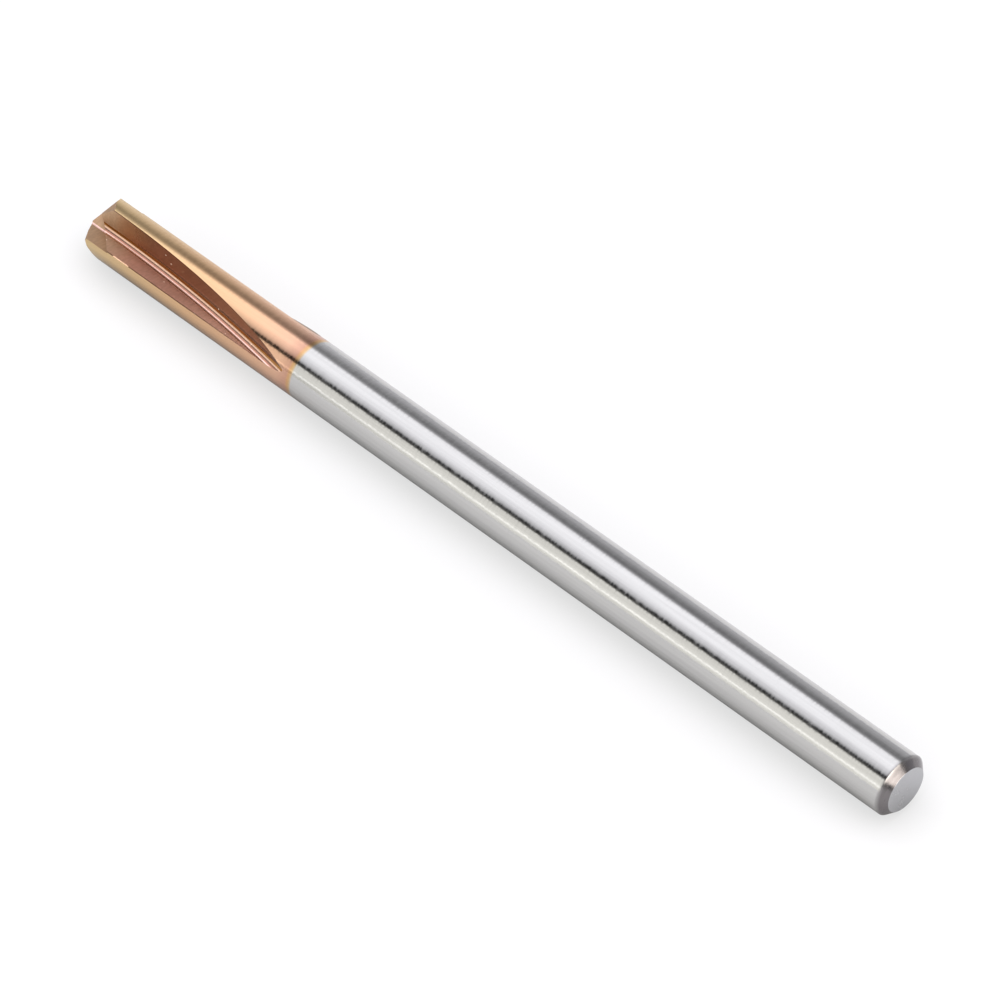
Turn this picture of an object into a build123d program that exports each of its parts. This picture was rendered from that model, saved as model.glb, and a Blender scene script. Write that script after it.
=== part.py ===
from build123d import *
import math
import os

# Solid carbide chamfer mill, right-hand cutting, ground from one round rod.
# Units are millimetres.  The origin is the centre of the shank's end face.
# The axis of the rod is X, and +X runs from the shank's end to the point.
# The mill lies on its side with Z up.

# Rod
overall_length = 50.0
rod_diameter = 3.0
end_chamfer_width = 0.38
end_chamfer_angle = 45.0

# Cutting edges, turned about the axis from straight up towards -Y
first_edge_angle = -75.5
edge_spacings = (112.0, 124.0)

# Straight flutes, ground by the corner of a wheel that lifts out towards the shank
flute_length = 13.75
core_diameter = 0.66
flute_angle = 80.0
flute_root_radius = 0.29
wheel_diameter = 125.0

# Point with three lips; the reach of a lip is how far ahead of the front its line meets the axis
lip_angle = 28.5
lip_reaches = (0.05, -0.01, 0.09)
primary_relief = 25.0
primary_land = 0.5
secondary_relief = 50.0

# Gash ahead of each lip: its face follows the rake side, then leans to keep a web at the axis
gash_rake = 2.3
gash_web = 0.2
gash_web_angle = 30.0
gash_depth = 0.6
gash_floor_angle = 42.0
gash_opening = 65.0

rod_radius = rod_diameter / 2
core_radius = core_diameter / 2
wheel_radius = wheel_diameter / 2
clear = rod_diameter


def slope(angle):
    """Rise over a unit run at this angle in degrees."""
    return math.tan(math.radians(angle))


def edge_angles():
    """Turn of each cutting edge about the axis."""
    angles = [first_edge_angle]
    for spacing in edge_spacings:
        angles.append(angles[-1] + spacing)
    return angles


def rod():
    """Round rod with one chamfered end, revolved about its axis."""
    chamfer_length = end_chamfer_width * slope(end_chamfer_angle)
    outline = Polyline(
        (0, 0),
        (0, rod_radius - end_chamfer_width),
        (chamfer_length, rod_radius),
        (overall_length, rod_radius),
        (overall_length, 0),
        close=True,
    )
    return revolve(make_face(outline), Axis.X)


def flute_section():
    """Outline of the wheel's corner, and the height of its lowest point above the axis.

    Sketch x is ahead of the cutting edge and sketch y is out from the axis.  The rake side is
    radial, the far side leans away from it by the flute angle, and the round root touches the core.
    """
    lean = math.radians(flute_angle)
    root_height = math.sqrt((core_radius + flute_root_radius) ** 2 - flute_root_radius**2)
    wall_start = (
        flute_root_radius * (1 + math.cos(lean)),
        root_height - flute_root_radius * math.sin(lean),
    )
    wall_end = (
        wall_start[0] + 2 * clear * math.sin(lean),
        wall_start[1] + 2 * clear * math.cos(lean),
    )
    top = max(wall_end[1], root_height) + clear
    rake = Line((0, top), (0, root_height))
    root = CenterArc((flute_root_radius, root_height), flute_root_radius, 180, 180 - flute_angle)
    wall = Line(wall_start, wall_end)
    side = Line(wall_end, (wall_end[0], top))
    lid = Line((wall_end[0], top), (0, top))
    return make_face([rake, root, wall, side, lid]), root_height - flute_root_radius


def flute_cutter():
    """Space swept by the wheel: along the axis at the point, then out on the wheel's own radius."""
    section, lowest = flute_section()
    depth = rod_radius - lowest
    run_out = math.sqrt(wheel_radius**2 - (wheel_radius - depth) ** 2)
    stop_x = overall_length - flute_length + run_out
    face = Plane(origin=(stop_x, 0, 0), x_dir=(0, -1, 0), z_dir=(-1, 0, 0)) * section
    along = extrude(face, -flute_length)
    wheel_axis = Axis((stop_x, 0, lowest + wheel_radius), (0, 1, 0))
    lift = math.degrees(math.asin(run_out / wheel_radius))
    return along + revolve(face, wheel_axis, 1.2 * lift)


def facet(reach, behind, relief):
    """Plane of a point facet: it rises in along the lip and falls back behind it.

    It meets the primary facet on a line this far behind the lip.
    """
    start = (overall_length + reach - behind * slope(primary_relief), behind, 0)
    return Plane(origin=start, z_dir=(1, slope(relief), slope(lip_angle)))


def gash_cutter():
    """Wedge ahead of a lip, between its two faces and a floor that slopes outwards.

    The floor meets the axis at the gash's depth behind the front.
    """
    lean = math.radians(gash_web_angle)
    across = (0, -math.cos(lean), math.sin(lean))
    face = Plane(origin=(overall_length, 0, 0), z_dir=(0, -1, slope(gash_rake)))
    web = Plane(
        origin=(overall_length, gash_web * across[1], gash_web * across[2]),
        z_dir=across,
    )
    floor = Plane(
        origin=(overall_length - gash_depth, 0, 0),
        z_dir=(slope(gash_floor_angle), 1 / slope(gash_opening), 1),
    )
    wedge = Pos(X=overall_length) * Box(4 * clear, 4 * clear, 4 * clear)
    for side in (face, web, floor):
        wedge = split(wedge, bisect_by=side, keep=Keep.TOP)
    return wedge


def chamfer_mill():
    """Rod less its flutes, then the facets and the gash of each lip."""
    mill = rod()
    flute = flute_cutter()
    gash = gash_cutter()
    for angle in edge_angles():
        mill -= Rot(X=angle) * flute
    for angle, reach in zip(edge_angles(), lip_reaches):
        for behind, relief in ((0, primary_relief), (primary_land, secondary_relief)):
            turned = Plane(Rot(X=angle) * facet(reach, behind, relief).location)
            mill = split(mill, bisect_by=turned, keep=Keep.BOTTOM)
    for angle in edge_angles():
        mill -= Rot(X=angle) * gash
    return mill


os.makedirs("parts", exist_ok=True)
finished = chamfer_mill()
export_step(finished, "parts/chamfer_mill.step")
print("volume mm3", round(finished.volume, 3), "solids", len(finished.solids()))
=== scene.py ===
import math

import bmesh
import bpy
import numpy as np
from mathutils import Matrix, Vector


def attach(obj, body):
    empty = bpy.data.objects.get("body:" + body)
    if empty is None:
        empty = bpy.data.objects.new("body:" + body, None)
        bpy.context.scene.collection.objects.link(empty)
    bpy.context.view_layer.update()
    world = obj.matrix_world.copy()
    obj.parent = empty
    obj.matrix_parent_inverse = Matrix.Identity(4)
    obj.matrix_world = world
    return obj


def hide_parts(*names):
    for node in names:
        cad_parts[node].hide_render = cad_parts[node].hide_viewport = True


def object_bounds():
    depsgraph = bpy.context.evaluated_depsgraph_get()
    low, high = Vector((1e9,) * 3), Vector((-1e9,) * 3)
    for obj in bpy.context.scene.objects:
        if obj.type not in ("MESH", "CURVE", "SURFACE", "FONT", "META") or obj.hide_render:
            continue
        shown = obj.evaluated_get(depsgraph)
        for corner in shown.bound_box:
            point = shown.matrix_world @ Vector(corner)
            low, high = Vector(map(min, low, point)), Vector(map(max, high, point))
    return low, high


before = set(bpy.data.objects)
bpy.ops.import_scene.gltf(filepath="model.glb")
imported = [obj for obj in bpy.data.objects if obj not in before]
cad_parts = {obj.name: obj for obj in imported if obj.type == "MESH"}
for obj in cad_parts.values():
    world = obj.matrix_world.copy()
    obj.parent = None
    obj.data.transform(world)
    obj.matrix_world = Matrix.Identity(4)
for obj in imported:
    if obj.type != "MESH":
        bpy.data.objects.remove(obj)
cad_low, cad_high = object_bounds()

# The rod
# The mill starts as one round rod of cemented carbide, sintered and then ground between centres.
# Its free end is chamfered, so that it finds its way into a collet.  Sizes are in millimetres.
MM = 0.001
length = 50.0
rod_radius = 1.5
end_chamfer = 0.38
rod_sides = 240
rod_steps = 50
# The chamfer's corner looks broken this far to each side of it.
soft_edge = 0.02
# Each face carries the number of the cut that left it.
OUTSIDE, RAKE, ROOT, WALL, FACET, GASH = range(6)


def with_zones(name, mesh, zones):
    """Object of a mesh, with the number of the cut that left it on each of its faces."""
    zone = mesh.attributes.new("zone", "INT", "FACE")
    zone.data.foreach_set("value", zones.astype(np.int32))
    piece = bpy.data.objects.new(name, mesh)
    bpy.context.scene.collection.objects.link(piece)
    return piece


def loft(name, rings, zones):
    """Mesh through rings of points: quads join each ring to the next, and both ends are closed.

    rings is an array of (rings, points in a ring, xyz) in millimetres.  zones has the number of
    the cut for each column of quads.
    """
    rows, columns = rings.shape[:2]
    row, column = np.meshgrid(np.arange(rows - 1), np.arange(columns), indexing="ij")
    after = (column + 1) % columns
    quads = np.stack(
        [
            row * columns + column,
            row * columns + after,
            (row + 1) * columns + after,
            (row + 1) * columns + column,
        ],
        axis=-1,
    ).reshape(-1, 4)
    caps = [np.arange(columns)[::-1], (rows - 1) * columns + np.arange(columns)]
    faces = [face.tolist() for face in quads] + [cap.tolist() for cap in caps]
    mesh = bpy.data.meshes.new(name)
    mesh.from_pydata((rings.reshape(-1, 3) * MM).tolist(), [], faces)
    made = bmesh.new()
    made.from_mesh(mesh)
    bmesh.ops.recalc_face_normals(made, faces=made.faces)
    made.to_mesh(mesh)
    made.free()
    return with_zones(name, mesh, np.concatenate([np.tile(zones, rows - 1), [OUTSIDE, OUTSIDE]]))


def rod_rings():
    """Circles about X: the radius grows as fast as X over the chamfer, then stays the same."""
    rim = end_chamfer + soft_edge * np.arange(-1, 2)
    along = np.concatenate([[0.0], rim, np.linspace(1.0, length, rod_steps)])
    radius = rod_radius - np.maximum(end_chamfer - along, 0)
    turn = np.linspace(0, 2 * np.pi, rod_sides, endpoint=False)
    rings = np.empty((along.size, rod_sides, 3))
    rings[..., 0] = along[:, None]
    rings[..., 1] = radius[:, None] * np.sin(turn)
    rings[..., 2] = radius[:, None] * np.cos(turn)
    return rings


mill = loft("mill", rod_rings(), np.full(rod_sides, OUTSIDE))

# The flutes
# Three straight flutes, each ground by the corner of a wheel that runs in along the rod.
# The wheel keeps its depth near the point and then lifts out on its own radius.
# The edges are unequally spaced.  They are turned about X, from straight up towards -Y.
first_edge = -75.5
edges = np.radians(first_edge + np.cumsum([0.0, 112.0, 124.0]))
flute_length = 13.75
core_radius = 0.33
flute_angle = math.radians(80.0)
root_radius = 0.29
root_turn = math.pi - flute_angle
wheel_radius = 62.5

root_height = math.sqrt((core_radius + root_radius) ** 2 - root_radius**2)
lowest = root_height - root_radius
wheel_centre = lowest + wheel_radius
run_out = math.sqrt(wheel_radius**2 - (wheel_centre - rod_radius) ** 2)
lift_start = length - flute_length + run_out


def wheel_section(root_steps=33, lid_height=4 * rod_radius):
    """Outline of the wheel's corner, as (ahead of the edge, out from the axis).

    It is the round root, then the sloping wall, the lid and the rake line.  The wall has two more
    points inside the rod, where the swung surface has to be true.
    """
    turn = np.linspace(math.pi, math.pi + root_turn, root_steps)
    root = np.stack(
        [root_radius * (1 + np.cos(turn)), root_height + root_radius * np.sin(turn)], axis=1
    )
    slope = np.array([math.sin(flute_angle), math.cos(flute_angle)])
    wall = root[-1] + slope * np.array([0.35, 0.8, lid_height])[:, None]
    lid = [[wall[-1][0], lid_height], [0.0, lid_height]]
    zones = [ROOT] * (len(root) - 1) + [WALL] * 3 + [OUTSIDE] * 2 + [RAKE]
    return np.concatenate([root, wall, lid]), np.array(zones)


def wheel_rings(section, swing_steps=90, overrun=1.2):
    """The section moved along X, then swung about the wheel's axis until it is clear of the rod.

    A point at height h goes to X = start - (c - h) sin t and out = c - (c - h) cos t, where c is
    the height of the wheel's axis, start is where the lift starts and t is the swing.
    """
    swing = np.linspace(0, overrun * math.asin(run_out / wheel_radius), swing_steps)
    drop = wheel_centre - section[:, 1]
    rings = np.empty((1 + swing.size, section.shape[0], 3))
    rings[0, :, 0] = length + rod_radius
    rings[0, :, 2] = section[:, 1]
    rings[1:, :, 0] = lift_start - drop * np.sin(swing)[:, None]
    rings[1:, :, 2] = wheel_centre - drop * np.cos(swing)[:, None]
    rings[:, :, 1] = -section[:, 0]
    return rings


def turned(points, angle):
    """Points turned about X: what points straight up goes towards -Y."""
    y, z = points[..., 1], points[..., 2]
    moved = points.copy()
    moved[..., 1] = y * math.cos(angle) - z * math.sin(angle)
    moved[..., 2] = y * math.sin(angle) + z * math.cos(angle)
    return moved


def grind(cutter, how="DIFFERENCE"):
    """Cuts the mill's mesh with another closed mesh, which is then thrown away."""
    step = mill.modifiers.new("grind", "BOOLEAN")
    step.operation = how
    step.solver = "EXACT"
    step.object = cutter
    bpy.context.view_layer.update()
    seen = mill.evaluated_get(bpy.context.evaluated_depsgraph_get())
    ground = bpy.data.meshes.new_from_object(seen)
    mill.modifiers.clear()
    mill.data = ground
    bpy.data.objects.remove(cutter)


section, section_zones = wheel_section()
for edge in edges:
    grind(loft("wheel", turned(wheel_rings(section), edge), section_zones))

# The point
# Three lips that meet near the axis, each with a narrow relieved land and a steep face behind it.
# The facets are ground on a cup wheel, so they are flat.
# A lip's reach is how far past the rod's end its line meets the axis.
lip_slope = math.tan(math.radians(28.5))
lip_reaches = (0.05, -0.01, 0.09)
primary_slope = math.tan(math.radians(25.0))
primary_land = 0.5
secondary_slope = math.tan(math.radians(50.0))


def block(name, planes, size, zone):
    """Cube about the front of the mill, cut by planes given as (point, outward normal)."""
    made = bmesh.new()
    bmesh.ops.create_cube(made, size=size)
    bmesh.ops.translate(made, vec=(length, 0, 0), verts=made.verts)
    for point, outward in planes:
        cut = bmesh.ops.bisect_plane(
            made,
            geom=made.verts[:] + made.edges[:] + made.faces[:],
            plane_co=point,
            plane_no=outward,
            clear_outer=True,
        )
        rim = [item for item in cut["geom_cut"] if isinstance(item, bmesh.types.BMEdge)]
        bmesh.ops.contextual_create(made, geom=rim)
    bmesh.ops.scale(made, vec=(MM, MM, MM), verts=made.verts)
    bmesh.ops.recalc_face_normals(made, faces=made.faces)
    mesh = bpy.data.meshes.new(name)
    made.to_mesh(mesh)
    made.free()
    return with_zones(name, mesh, np.full(len(mesh.polygons), zone))


facets = []
for edge, reach in zip(edges, lip_reaches):
    for behind, relief in ((0.0, primary_slope), (primary_land, secondary_slope)):
        start = np.array([length + reach - behind * primary_slope, behind, 0.0])
        facets.append((turned(start, edge), turned(np.array([1.0, relief, lip_slope]), edge)))
grind(block("point", facets, 4 * length, FACET), "INTERSECT")

# The gashes
# A dish wheel opens each flute to the centre.  It leaves a face just behind the rake side, a small
# facet that keeps the web at the axis, and a floor that slopes outwards.
gash_rake = math.tan(math.radians(2.3))
gash_web = 0.2
gash_web_angle = math.radians(30.0)
gash_depth = 0.6
gash_floor = math.tan(math.radians(42.0))
gash_opening = math.tan(math.radians(65.0))

lean = np.array([0.0, -math.cos(gash_web_angle), math.sin(gash_web_angle)])
front = np.array([length, 0.0, 0.0])
gash_sides = [
    (front, np.array([0.0, -1.0, gash_rake])),
    (front + gash_web * lean, lean),
    (front - [gash_depth, 0.0, 0.0], np.array([gash_floor, 1 / gash_opening, 1.0])),
]
# The face and the web meet on a line along X, through this point.
gash_corner = gash_web / (lean[2] + lean[1] * gash_rake) * np.array([0.0, gash_rake, 1.0])
for edge in edges:
    sides = [(turned(point, edge), -turned(inward, edge)) for point, inward in gash_sides]
    grind(block("gash", sides, 12 * rod_radius, GASH))


def true_normals(mesh):
    """Normal of each face corner from the surface that the corner lies on.

    On the rod it is radial, and it leans over to 45 degrees on the chamfer.  In a flute it is the
    section's normal, swung with the wheel: its height part points at the wheel's axis.  Elsewhere,
    and where that is more than 11 degrees off, it is the face's own.
    Also gives how far each corner is round the flute's root, from 0 at the rake side to 1 at the
    wall.
    """
    # Slack in millimetres for points on the axis and for faces on the rake side, and the least
    # share of a unit normal that counts as facing along X, or as the same way.
    on_axis, on_rake = 1e-6, 1e-3
    end_face, same_way = 0.9, 0.98
    count = len(mesh.loops)
    corner = np.empty(count, np.int32)
    mesh.loops.foreach_get("vertex_index", corner)
    points = np.empty(len(mesh.vertices) * 3)
    mesh.vertices.foreach_get("co", points)
    points = points.reshape(-1, 3)[corner] / MM
    sides = np.empty(len(mesh.polygons), np.int32)
    mesh.polygons.foreach_get("loop_total", sides)
    flat = np.empty(len(mesh.polygons) * 3)
    mesh.polygons.foreach_get("normal", flat)
    normal = np.repeat(flat.reshape(-1, 3), sides, axis=0)
    middle = np.empty(len(mesh.polygons) * 3)
    mesh.polygons.foreach_get("center", middle)
    middle = np.repeat(middle.reshape(-1, 3), sides, axis=0) / MM
    zone = np.empty(len(mesh.polygons), np.int32)
    mesh.attributes["zone"].data.foreach_get("value", zone)
    zone = np.repeat(zone, sides)

    radial = points * [0, 1, 1] / np.linalg.norm(points[:, 1:], axis=1)[:, None].clip(on_axis)
    on_rod = (zone == OUTSIDE) & (np.abs(normal[:, 0]) < end_face)
    past_rim = (points[:, 0] - end_chamfer + soft_edge) / (2 * soft_edge)
    tip = math.radians(45) * (1 - past_rim.clip(0, 1))[:, None]
    rounded = radial * np.cos(tip) - [1, 0, 0] * np.sin(tip)
    normal[on_rod] = rounded[on_rod]

    round_root = np.zeros(count)
    for edge in edges:
        ahead_way = turned(np.array([0.0, -1.0, 0.0]), edge)
        out_way = turned(np.array([0.0, 0.0, 1.0]), edge)
        ahead, out = points @ ahead_way, points @ out_way
        back = np.maximum(lift_start - points[:, 0], 0)
        reach = np.hypot(back, wheel_centre - out)
        height = wheel_centre - reach
        upward = np.stack([back, (wheel_centre - out)], axis=1) / reach[:, None]
        part = np.arctan2(root_height - height, root_radius - ahead)
        part = np.clip(part, 0, root_turn)
        here = (middle @ ahead_way > -on_rake) & np.isin(zone, (RAKE, ROOT, WALL))
        here &= (middle @ out_way > 0) | (zone != RAKE)
        part = np.where(zone == RAKE, 0.0, np.where(zone == WALL, root_turn, part))
        aim = np.cos(part)[:, None] * ahead_way + np.sin(part)[:, None] * (
            upward[:, :1] * [1, 0, 0] + upward[:, 1:] * out_way
        )
        here &= (aim * normal).sum(axis=1) > same_way
        normal[here] = aim[here]
        round_root[here] = part[here] / root_turn
    return normal, zone, round_root


same_point = 1e-7
made = bmesh.new()
made.from_mesh(mill.data)
bmesh.ops.remove_doubles(made, verts=made.verts, dist=same_point)
bmesh.ops.dissolve_degenerate(made, edges=made.edges, dist=same_point)
bmesh.ops.triangulate(made, faces=[face for face in made.faces if len(face.verts) > 4])
bmesh.ops.recalc_face_normals(made, faces=made.faces)
made.to_mesh(mill.data)
made.free()
corner_normals, corner_zone, corner_root = true_normals(mill.data)
mill.data.polygons.foreach_set("use_smooth", np.ones(len(mill.data.polygons), bool))
mill.data.normals_split_custom_set(corner_normals.tolist())
# The finish reads this: red is in a flute, green is how far round the root, blue is on the point.
masks = np.ones((corner_zone.size, 4), np.float32)
in_flute = np.isin(corner_zone, (RAKE, ROOT, WALL))
masks[:, 0] = in_flute
masks[:, 1] = np.where(in_flute, corner_root, 0)
masks[:, 2] = np.isin(corner_zone, (GASH, FACET))
ground = mill.data.attributes.new("ground", "FLOAT_COLOR", "CORNER")
ground.data.foreach_set("color", masks.ravel())
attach(mill, "root")
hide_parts("chamfer_mill")

# The finish
# Cylindrical grinding leaves the shank bright, with fine lines round it.  The head has a bronze
# coating laid in vapour: paler on the lands, redder and darker in the flutes, with a straw edge at
# the shank.
coat_start = length - 14.2


def linear(colour):
    """sRGB hex to linear RGB: the low end divided by 12.92, the rest by the 2.4 power curve."""
    value = np.array([int(colour[i : i + 2], 16) for i in (1, 3, 5)]) / 255
    value = np.where(value <= 0.04045, value / 12.92, ((value + 0.055) / 1.055) ** 2.4)
    return (*value.tolist(), 1.0)


def add(tree, kind, inputs=None, stops=(), **settings):
    """Adds a node with its settings and links.

    An input is a value, another node's output, or a node, which gives its first output in use.
    stops are a colour ramp's, as (position, hex colour).
    """
    made = tree.nodes.new(kind)
    for key, value in settings.items():
        setattr(made, key, value)
    if stops:
        elements = made.color_ramp.elements
        while len(elements) < len(stops):
            elements.new(0.5)
        for element, (position, colour) in zip(elements, stops):
            element.position = position
            element.color = linear(colour)
    for key, value in (inputs or {}).items():
        if isinstance(value, bpy.types.Node):
            value = next(output for output in value.outputs if output.enabled)
        if isinstance(value, bpy.types.NodeSocket):
            tree.links.new(value, made.inputs[key])
        else:
            made.inputs[key].default_value = value
    return made


def ground_carbide():
    """Cemented carbide, cylindrically ground: grey metal with fine lines.

    The head is bronze coated.  Places along the mill are in millimetres from the shank's end.
    """
    material = bpy.data.materials.new("ground_carbide_bronze_coated")
    material.use_nodes = True
    tree = material.node_tree
    tree.nodes.clear()
    place = add(tree, "ShaderNodeTexCoord").outputs["Object"]
    split = add(tree, "ShaderNodeSeparateXYZ", {0: place})
    from_end = split.outputs["X"]
    out = add(
        tree, "ShaderNodeVectorMath", {0: place, 1: (0.0, 1.0, 1.0)}, operation="MULTIPLY"
    )
    from_axis = add(tree, "ShaderNodeVectorMath", {0: out}, operation="LENGTH")
    ground = add(tree, "ShaderNodeAttribute", attribute_name="ground")
    ground = add(tree, "ShaderNodeSeparateColor", {0: ground})
    in_flute, round_root, on_point = (ground.outputs[name] for name in ("Red", "Green", "Blue"))

    # The coating's edge and its changes of tint wander by a few hundredths of a millimetre.
    wander = add(tree, "ShaderNodeTexNoise", {"Vector": place, "Scale": 1.6 / MM, "Detail": 2.0})
    wavy_x = add(
        tree, "ShaderNodeMath", {0: wander, 1: 0.08 * MM, 2: from_end}, operation="MULTIPLY_ADD"
    )
    along = add(
        tree,
        "ShaderNodeMapRange",
        {"Value": wavy_x, "From Min": coat_start * MM, "From Max": length * MM},
    )
    lands = add(
        tree,
        "ShaderNodeValToRGB",
        {"Fac": along},
        stops=[
            (0.0, "#B5B5B2"),
            (0.007, "#BCA27C"),
            (0.014, "#BE9668"),
            (0.025, "#B88F7A"),
            (0.07, "#C8A186"),
            (0.16, "#CCA485"),
            (0.45, "#CAA57E"),
            (1.0, "#C0A97D"),
        ],
    )

    # In a flute the film is thinner round the root than on the rake side: rose, brown at the
    # bottom, then straw and orange. The two pale bands are partly painted highlights along the
    # root's two bright lines, and the brown band between them is partly painted shade.
    flute = add(
        tree,
        "ShaderNodeValToRGB",
        {"Fac": round_root},
        stops=[
            (0.0, "#CA9C88"),
            (0.08, "#E0BEB2"),
            (0.24, "#E0BEB2"),
            (0.32, "#A57864"),
            (0.46, "#A57864"),
            (0.52, "#D4AE98"),
            (0.66, "#D4AE98"),
            (0.76, "#A0703A"),
        ],
    )
    # The rake side turns tan towards the point and paler towards the shank.
    on_rake = add(
        tree,
        "ShaderNodeMapRange",
        {"Value": round_root, "From Max": 0.03, "To Min": 1.0, "To Max": 0.0},
    )
    for begin, full, tone in ((46.4, 48.0, "#C2A58C"), (43.5, 40.8, "#DDB29C")):
        share = add(
            tree,
            "ShaderNodeMapRange",
            {"Value": wavy_x, "From Min": begin * MM, "From Max": full * MM},
        )
        share = add(tree, "ShaderNodeMath", {0: share, 1: on_rake}, operation="MULTIPLY")
        flute = add(
            tree,
            "ShaderNodeMix",
            {"Factor": share, "A": flute, "B": linear(tone)},
            data_type="RGBA",
        )
    # The flute colours carry the root's partly painted highlights and shade.
    colour = add(
        tree, "ShaderNodeMix", {"Factor": in_flute, "A": lands, "B": flute}, data_type="RGBA"
    )

    # The far wall is a deep brown, orange by the root where the film is thinner.
    up_wall = add(
        tree,
        "ShaderNodeMapRange",
        {"Value": from_axis, "From Min": 0.45 * MM, "From Max": 1.4 * MM},
    )
    wall = add(
        tree,
        "ShaderNodeValToRGB",
        {"Fac": up_wall},
        stops=[(0.0, "#855938"), (0.4, "#886B53"), (1.0, "#806650")],
    )
    on_wall = add(
        tree, "ShaderNodeMapRange", {"Value": round_root, "From Min": 0.96, "From Max": 1.0}
    )

    # Near the point the gash wheel has also ground the far wall lightly, which leaves it matt. Its
    # paler colour there is a painted reflection: the bright ground past the point, which the wall
    # sees where the other wall ends.
    skim_and_painted_reflection = add(
        tree,
        "ShaderNodeMapRange",
        {"Value": wavy_x, "From Min": 46.2 * MM, "From Max": 48.6 * MM},
    )
    skim_and_painted_reflection = add(tree, "ShaderNodeMath", {0: skim_and_painted_reflection, 1: on_wall}, operation="MULTIPLY")
    painted_reflection_tone = add(
        tree,
        "ShaderNodeValToRGB",
        {"Fac": skim_and_painted_reflection},
        stops=[(0.0, "#B4865E"), (0.6, "#B4865E"), (1.0, "#B89B7C")],
    )

    # The gash wheel's own corner leaves a narrow fillet between a gash's face and its web. The
    # shape has no fillet, so its pale line is a painted highlight.
    to_corner = length * MM
    for edge in edges:
        away = add(
            tree,
            "ShaderNodeVectorMath",
            {0: out, 1: -turned(gash_corner, edge) * MM},
            operation="ADD",
        )
        away = add(tree, "ShaderNodeVectorMath", {0: away}, operation="LENGTH")
        to_corner = add(tree, "ShaderNodeMath", {0: away, 1: to_corner}, operation="MINIMUM")
    painted_fillet_highlight = add(
        tree,
        "ShaderNodeMapRange",
        {
            "Value": to_corner,
            "From Min": 0.04 * MM,
            "From Max": 0.07 * MM,
            "To Min": 1.0,
            "To Max": 0.0,
        },
    )
    painted_fillet_highlight = add(tree, "ShaderNodeMath", {0: painted_fillet_highlight, 1: on_point}, operation="MULTIPLY")

    # Within 0.07 mm of the flutes' rims the colour turns a darker brown, on a band less than
    # 0.1 mm wide.  The darkening fades out where a flute runs out.
    darker_rim = add(
        tree,
        "ShaderNodeMapRange",
        {"Value": from_axis, "From Min": 1.41 * MM, "From Max": 1.48 * MM, "To Max": 0.85},
    )
    deep = add(
        tree,
        "ShaderNodeMapRange",
        {"Value": from_end, "From Min": 37.5 * MM, "From Max": 42 * MM},
    )
    for mask in (deep, in_flute):
        darker_rim = add(tree, "ShaderNodeMath", {0: darker_rim, 1: mask}, operation="MULTIPLY")

    for share, tone in (
        (on_wall, wall),
        # the far wall's paler tone near the point is a painted reflection
        (skim_and_painted_reflection, painted_reflection_tone),
        (on_point, linear("#AE9072")),
        # the gash corner's pale line is a painted highlight
        (painted_fillet_highlight, linear("#F0CEC2")),
        (darker_rim, linear("#5A3820")),
    ):
        colour = add(
            tree, "ShaderNodeMix", {"Factor": share, "A": colour, "B": tone}, data_type="RGBA"
        )

    # The wheel's lines run round the rod, about 0.1 mm apart, and tilt the surface by less than
    # 1 degree.  Real ones are a hundredth of a millimetre apart, which is too fine to show.
    # The polish is less even along them too.
    lines = add(
        tree, "ShaderNodeMapping", {"Vector": place, "Scale": (10 / MM, 2 / MM, 2 / MM)}
    )
    streak = add(tree, "ShaderNodeTexNoise", {"Vector": lines, "Scale": 1.0, "Detail": 3.0})
    tilt = add(
        tree,
        "ShaderNodeMapRange",
        {"Value": streak, "From Min": 0.3, "From Max": 0.7, "To Min": -0.015, "To Max": 0.015},
    )
    polish = add(
        tree,
        "ShaderNodeMapRange",
        {"Value": streak, "From Min": 0.3, "From Max": 0.7, "To Min": 0.08, "To Max": 0.2},
    )
    # They are a fifth as strong in the flutes.
    strength = add(
        tree, "ShaderNodeMath", {0: in_flute, 1: -0.8, 2: 1.0}, operation="MULTIPLY_ADD"
    )
    tilt = add(tree, "ShaderNodeMath", {0: tilt, 1: strength}, operation="MULTIPLY")
    straight = add(tree, "ShaderNodeNewGeometry").outputs["Normal"]
    round_way = add(
        tree,
        "ShaderNodeVectorMath",
        {0: (1.0, 0.0, 0.0), 1: straight},
        operation="CROSS_PRODUCT",
    )
    tilted = add(
        tree, "ShaderNodeVectorMath", {0: round_way, "Scale": tilt}, operation="SCALE"
    )
    tilted = add(tree, "ShaderNodeVectorMath", {0: straight, 1: tilted}, operation="ADD")

    # Faint streaks run along the rod, 0.15 mm wide and 8 mm long: painted reflections.  The
    # flutes and the point have the grain of their wheels instead, 0.1 mm across, since the real
    # scratches are too fine to show.
    painted_streaks = add(
        tree, "ShaderNodeMapping", {"Vector": place, "Scale": (0.12 / MM, 7 / MM, 7 / MM)}
    )
    painted_streaks = add(tree, "ShaderNodeTexNoise", {"Vector": painted_streaks, "Scale": 1.0, "Detail": 2.0})
    painted_streaks = add(
        tree,
        "ShaderNodeMapRange",
        {"Value": painted_streaks, "From Min": 0.35, "From Max": 0.65, "To Min": 0.95, "To Max": 1.01},
    )
    grain = add(
        tree, "ShaderNodeMapping", {"Vector": place, "Scale": (9 / MM, 2.5 / MM, 9 / MM)}
    )
    grain = add(tree, "ShaderNodeTexNoise", {"Vector": grain, "Scale": 1.0, "Detail": 3.0})
    grain = add(
        tree,
        "ShaderNodeMapRange",
        {"Value": grain, "From Min": 0.3, "From Max": 0.7, "To Min": 0.9, "To Max": 1.08},
    )
    cut = add(tree, "ShaderNodeMath", {0: in_flute, 1: on_point}, operation="MAXIMUM")
    # the streaks along the shank are painted reflections; the flutes' grain is their own
    grain_and_painted_streaks = add(tree, "ShaderNodeMix", {"Factor": cut, "A": painted_streaks, "B": grain})
    colour = add(
        tree, "ShaderNodeVectorMath", {0: colour, "Scale": grain_and_painted_streaks}, operation="SCALE"
    )

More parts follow.
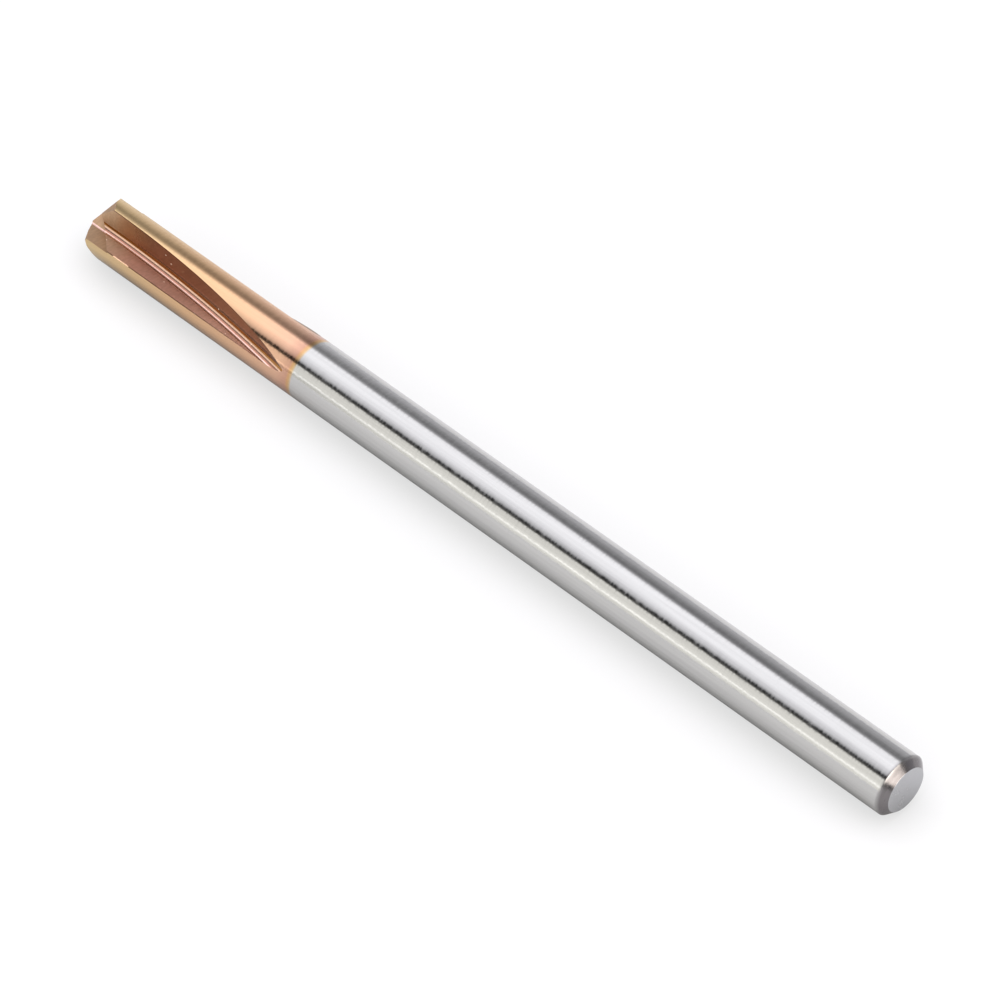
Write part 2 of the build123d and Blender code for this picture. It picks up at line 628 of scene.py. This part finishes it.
    # The rake side is left matt by the wheel's face and the gashes by a coarser wheel.  The far
    # wall and the round root are brighter.
    matt = add(tree, "ShaderNodeMath", {0: on_rake, 1: in_flute}, operation="MULTIPLY")
    for mask in (skim_and_painted_reflection, on_point):
        matt = add(tree, "ShaderNodeMath", {0: matt, 1: mask}, operation="MAXIMUM")
    rough = add(
        tree, "ShaderNodeMath", {0: matt, 1: 0.4, 2: polish}, operation="MULTIPLY_ADD"
    )

    # The end face and its chamfer are turned on a belt and left duller than the shank.
    at_end = add(
        tree,
        "ShaderNodeMapRange",
        {
            "Value": from_end,
            "From Min": (end_chamfer - 0.1) * MM,
            "From Max": (end_chamfer + 0.1) * MM,
            "To Min": 1.0,
            "To Max": 0.0,
        },
    )
    on_face = add(
        tree, "ShaderNodeMath", {0: from_end, 1: 0.005 * MM}, operation="LESS_THAN"
    )
    rough = add(
        tree, "ShaderNodeMath", {0: at_end, 1: 0.09, 2: rough}, operation="MULTIPLY_ADD"
    )

    # Droplets from the coating's source stay in the flutes as specks. They are drawn up to
    # 0.09 mm across, because most real ones are too fine to show.  Their near-white colour is
    # partly painted glint, for the light that a round droplet catches from all sides.
    drops_and_painted_glints = add(tree, "ShaderNodeTexVoronoi", {"Vector": place, "Scale": 1.9 / MM})
    drops_and_painted_glints = add(
        tree,
        "ShaderNodeMapRange",
        {"Value": drops_and_painted_glints, "From Min": 0.05, "From Max": 0.09, "To Min": 1.0, "To Max": 0.0},
    )
    drops_and_painted_glints = add(tree, "ShaderNodeMath", {0: drops_and_painted_glints, 1: in_flute}, operation="MULTIPLY")

    # Near the point one edge has a bright streak 1 mm long in its colour: a painted highlight for
    # the edge's glint.
    painted_edge_glint = add(
        tree,
        "ShaderNodeMath",
        {0: from_end, 1: 46.85 * MM, 2: 0.5 * MM},
        operation="COMPARE",
    )
    at_rim = add(
        tree, "ShaderNodeMath", {0: from_axis, 1: 1.43 * MM}, operation="GREATER_THAN"
    )
    that_edge = add(
        tree,
        "ShaderNodeMath",
        {0: split.outputs["Y"], 1: 1.3 * MM},
        operation="GREATER_THAN",
    )
    for mask in (at_rim, that_edge, in_flute):
        painted_edge_glint = add(tree, "ShaderNodeMath", {0: painted_edge_glint, 1: mask}, operation="MULTIPLY")
    for mask in (drops_and_painted_glints, painted_edge_glint):
        rough = add(tree, "ShaderNodeMath", {0: rough, 1: mask}, operation="MAXIMUM")

    for share, tone in (
        (at_end, "#737070"),
        (on_face, "#AEAFB0"),
        # the droplets' near-white is partly painted glint
        (drops_and_painted_glints, "#FFEEDC"),
        # the edge's bright streak is a painted highlight
        (painted_edge_glint, "#FFEBD2"),
    ):
        colour = add(
            tree,
            "ShaderNodeMix",
            {"Factor": share, "A": colour, "B": linear(tone)},
            data_type="RGBA",
        )
    surface = add(
        tree,
        "ShaderNodeBsdfPrincipled",
        {"Base Color": colour, "Metallic": 1.0, "Roughness": rough, "Normal": tilted},
    )
    add(tree, "ShaderNodeOutputMaterial", {"Surface": surface})
    return material


mill.data.materials.clear()
mill.data.materials.append(ground_carbide())

# The table
# A sheet of white paper under the mill.  It is matt, and it reaches far past the picture, so that
# no edge of it shows.
floor_reach = 3.0
floor_z = cad_low.z - 0.01 * MM
floor_mesh = bpy.data.meshes.new("floor")
floor_mesh.from_pydata(
    [
        (x * floor_reach, y * floor_reach, floor_z)
        for x, y in ((-1, -1), (1, -1), (1, 1), (-1, 1))
    ],
    [],
    [(0, 1, 2, 3)],
)
floor = bpy.data.objects.new("floor", floor_mesh)
bpy.context.scene.collection.objects.link(floor)
paper = bpy.data.materials.new("white_paper")
paper.use_nodes = True
tree = paper.node_tree
tree.nodes.clear()
# In a real tent the crease where the mill touches the paper is darker than under this light, so
# the paper is darkened there by how little of the sky it sees.
crease = add(
    tree, "ShaderNodeAmbientOcclusion", {"Color": linear("#FAFAFA"), "Distance": 12 * MM}
)
matte = add(tree, "ShaderNodeBsdfDiffuse", {"Color": crease})
bright = add(tree, "ShaderNodeEmission", {"Color": linear("#FFFFFF"), "Strength": 1.0})
# The camera sees the paper as mostly plain white, and metal and glass show a little of that.
path = add(tree, "ShaderNodeLightPath")
mirrored = add(
    tree,
    "ShaderNodeMath",
    {0: path.outputs["Is Glossy Ray"], 1: path.outputs["Is Transmission Ray"]},
    operation="MAXIMUM",
)
share = add(tree, "ShaderNodeMath", {0: mirrored, 1: 0.12}, operation="MULTIPLY")
share = add(
    tree,
    "ShaderNodeMath",
    {0: path.outputs["Is Camera Ray"], 1: 0.7, 2: share},
    operation="MULTIPLY_ADD",
)
both = add(tree, "ShaderNodeMixShader", {0: share, 1: matte, 2: bright})
add(tree, "ShaderNodeOutputMaterial", {"Surface": both})
floor_mesh.materials.append(paper)

# The light
# A light tent over the mill: a half cylinder of white cloth that glows where the softboxes behind
# it are, one overhead and one low on the camera's side, with a black strip between them.
# Its sizes and the lamps' are in metres.
tent_radius = 0.5
end_glow = 0.3
# (degrees from straight up towards -Y, glow) where the shank mirrors the cloth
shank_stops = np.array(
    [
        (-91, 1.4), (-71, 1.5), (-60, 1.42), (-48.5, 1.35), (-46.2, 0.3), (-44.8, 0.05),
        (-37, 0.04), (-35, 0.25), (-31, 0.85), (-22, 1.3), (-10, 1.7), (-4, 1.86),
        (27, 1.92), (32, 1.4), (36, 0.6), (44, 0.3), (52, 0.36), (66, 0.58), (91, 0.85),
    ]
)
# (degrees, share of that glow) where the head mirrors it
head_stops = np.array(
    [
        (-91, 0.38), (-82, 0.45), (-74, 0.8), (-45, 1.0), (26, 1.0), (32, 0.85), (38, 1.1),
        (46, 1.35), (60, 1.25), (91, 1.35),
    ]
)
turn = np.linspace(-91, 91, 183)
by_shank = np.interp(turn, shank_stops[:, 0], shank_stops[:, 1])
by_head = by_shank * np.interp(turn, head_stops[:, 0], head_stops[:, 1])
# Past the point, the side away from the camera glows half as much again.
past_point = by_head * np.where(turn > 34, 1.5, 1.0)
# Each of the three holds between two stations along the mill and blends into the next.
stations = np.array([-0.5, 0.32, 0.34, 0.362, 0.374, 0.95])
level = np.repeat([by_shank, by_head, past_point], 2, axis=0)

arch = np.radians(turn)
arch = np.stack([-tent_radius * np.sin(arch), tent_radius * np.cos(arch)], axis=1)
row, column = np.meshgrid(np.arange(stations.size - 1), np.arange(turn.size - 1), indexing="ij")
first = (row * turn.size + column).ravel()
walls = np.stack([first, first + 1, first + 1 + turn.size, first + turn.size], axis=1)
ends = np.arange(turn.size) + np.array([[0], [(stations.size - 1) * turn.size]])
tent_mesh = bpy.data.meshes.new("tent")
tent_mesh.from_pydata(
    np.concatenate([np.insert(arch, 0, station, axis=1) for station in stations]).tolist(),
    [],
    walls.tolist() + ends.tolist(),
)
# The cloth is a little warm low on the camera's side, and a little cool elsewhere.
warm = np.where(turn < -40, 1.0, 0.0)[:, None]
tint = warm * [1.02, 1.0, 0.97] + (1 - warm) * [1.0, 0.99, 1.06]
glow = np.ones((stations.size, turn.size, 4), np.float32)
glow[..., :3] = level[..., None] * tint
sides = np.empty(len(tent_mesh.polygons), np.int32)
tent_mesh.polygons.foreach_get("loop_total", sides)
corner = np.empty(len(tent_mesh.loops), np.int32)
tent_mesh.loops.foreach_get("vertex_index", corner)
cloth_glow = glow.reshape(-1, 4)[corner]
cloth_glow[np.repeat(sides, sides) > 4] = end_glow
glow_attribute = tent_mesh.attributes.new("glow", "FLOAT_COLOR", "CORNER")
glow_attribute.data.foreach_set("color", cloth_glow.ravel())
tent = bpy.data.objects.new("tent", tent_mesh)
bpy.context.scene.collection.objects.link(tent)
tent.visible_camera = False
cloth = bpy.data.materials.new("lit_tent_cloth")
cloth.use_nodes = True
tree = cloth.node_tree
tree.nodes.clear()
glowing = add(tree, "ShaderNodeAttribute", attribute_name="glow")
lit = add(tree, "ShaderNodeEmission", {"Color": glowing, "Strength": 1.0})
add(tree, "ShaderNodeOutputMaterial", {"Surface": lit})
tent_mesh.materials.append(cloth)


def softbox(name, size, place, turn, radiance, colour="#FFFFFF"):
    """Rectangular lamp that looks as bright as its radiance: its power is pi x radiance x area."""
    light = bpy.data.lights.new(name, "AREA")
    light.shape = "RECTANGLE"
    light.size, light.size_y = size
    light.energy = radiance * math.pi * size[0] * size[1]
    light.color = linear(colour)[:3]
    lamp = bpy.data.objects.new(name, light)
    bpy.context.scene.collection.objects.link(lamp)
    lamp.location = place
    lamp.rotation_euler = turn
    lamp.visible_camera = False


# A narrow strip low on the camera's side draws the bright line along the shank, and a panel past
# the shank's end lights the chamfer.
strip_turn = math.radians(-77)
strip_away = 0.45
strip_place = (0.025, -strip_away * math.sin(strip_turn), strip_away * math.cos(strip_turn))
panel_turn = math.radians(-69)
softbox("strip", (1.7, 0.045), strip_place, (strip_turn, 0, 0), 0.75)
softbox("end_panel", (0.18, 0.44), (-0.45, -0.01, 0.17), (0, panel_turn, 0), 5.2, "#FFF6EE")

world = bpy.data.worlds.new("room")
bpy.context.scene.world = world
world.use_nodes = True
world.node_tree.nodes["Background"].inputs["Color"].default_value = linear("#FFFFFF")
world.node_tree.nodes["Background"].inputs["Strength"].default_value = 1.0

# The camera
# A long lens looks down past the shank's end at the mill.  Its place, in millimetres, and its
# focal length were fitted to the sides, the end and the point of the rod in the photograph.
camera_data = bpy.data.cameras.new("camera")
camera = bpy.data.objects.new("camera", camera_data)
bpy.context.scene.collection.objects.link(camera)
bpy.context.scene.camera = camera
camera_data.sensor_width = 36.0
camera_data.lens = 239.16
camera_data.clip_start = 0.01
camera_data.clip_end = 20.0
camera.location = Vector((-116.262, 144.629, 214.08)) * MM
aim = Vector((24.184, -0.142, 0.0)) * MM
camera.rotation_mode = "QUATERNION"
camera.rotation_quaternion = (aim - camera.location).to_track_quat("-Z", "Y")

bpy.context.scene.view_settings.view_transform = "Standard"
